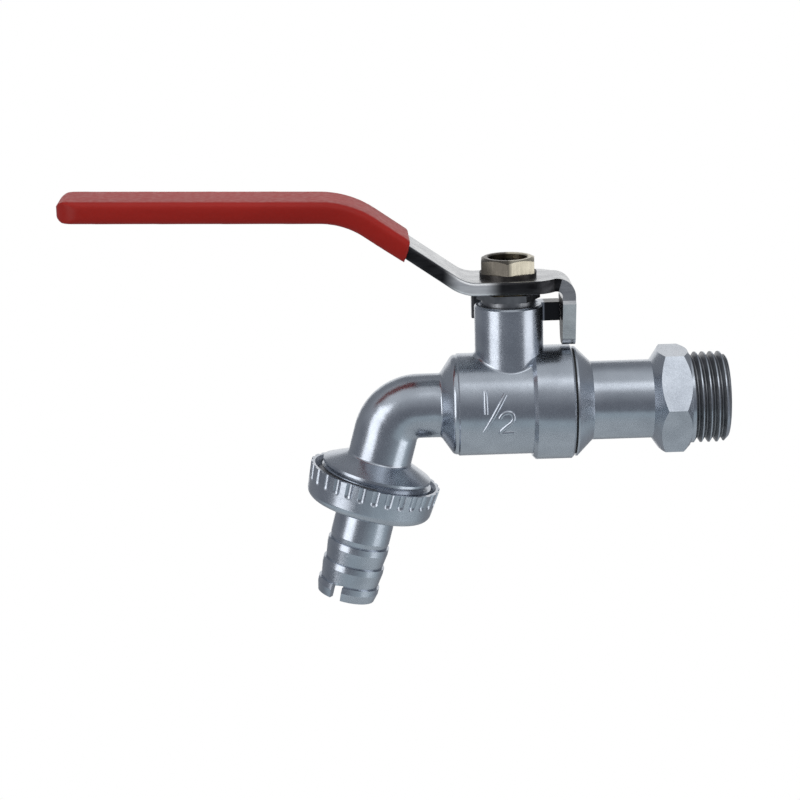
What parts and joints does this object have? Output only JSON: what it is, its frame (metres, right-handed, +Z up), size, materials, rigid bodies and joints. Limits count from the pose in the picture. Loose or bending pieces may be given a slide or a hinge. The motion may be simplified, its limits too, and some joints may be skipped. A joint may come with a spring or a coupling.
{
  "type": "lever bib tap",
  "caption": "Wall-mounted lever ball-valve bib tap with a swept spout, red sleeved handle, union nut and barbed hose tail.",
  "frame": {"origin": "on the inlet axis at the hexagon's face where the inlet thread starts", "axes": "+X out of the inlet thread towards the wall fitting, +Z up along the stem, spout and grip towards -X"},
  "size_m": [0.151, 0.0306, 0.0976],
  "materials": {
    "satin_chrome": "satin chrome plate on cast and turned brass",
    "ball_chrome": "polished chrome plate",
    "stem_brass": "turned brass",
    "lever_steel": "zinc-plated pressed steel",
    "grip_vinyl": "red dipped vinyl",
    "nut_brass": "pale plated brass",
    "washer_steel": "dark oiled spring steel",
    "seat_plastic": "white PTFE",
    "seal_rubber": "black rubber"
  },
  "bodies": {
    "tap_body": {"valve_body": "satin_chrome", "inlet_connector": "satin_chrome", "body_joint_seal": "seal_rubber", "downstream_seat": "seat_plastic", "upstream_seat": "seat_plastic", "stem_thrust_washer": "seat_plastic", "lower_packing_ring": "seat_plastic", "upper_packing_ring": "seat_plastic", "gland_nut": "stem_brass"},
    "lever_set": {"stem": "stem_brass", "stem_o_ring": "seal_rubber", "ball": "ball_chrome", "lever_arm": "lever_steel", "grip_sleeve": "grip_vinyl", "lock_washer": "washer_steel", "lever_nut": "nut_brass"},
    "hose_tail_set": {"hose_tail": "satin_chrome", "hose_washer": "seal_rubber"},
    "union_ring": {"union_nut": "satin_chrome"}
  },
  "joints": [
    {"name": "lever_turn", "type": "hinge", "parent": "tap_body", "child": "lever_set", "pos_m": [-0.0409, 0, 0], "axis": [0, 0, -1], "range_deg": [0, 90]},
    {"name": "tail_drop", "type": "slide", "parent": "tap_body", "child": "hose_tail_set", "axis": [-0.2588, 0, -0.9659], "range_m": [0, 0.00317]},
    {"name": "union_turn", "type": "hinge", "parent": "hose_tail_set", "child": "union_ring", "pos_m": [-0.07398, 0, -0.02231], "axis": [-0.2588, 0, -0.9659], "range_deg": [0, 630]}
  ],
  "couplings": [
    {"joint": "union_turn", "follows": "tail_drop", "rad_per_m": 3463.7}
  ]
}
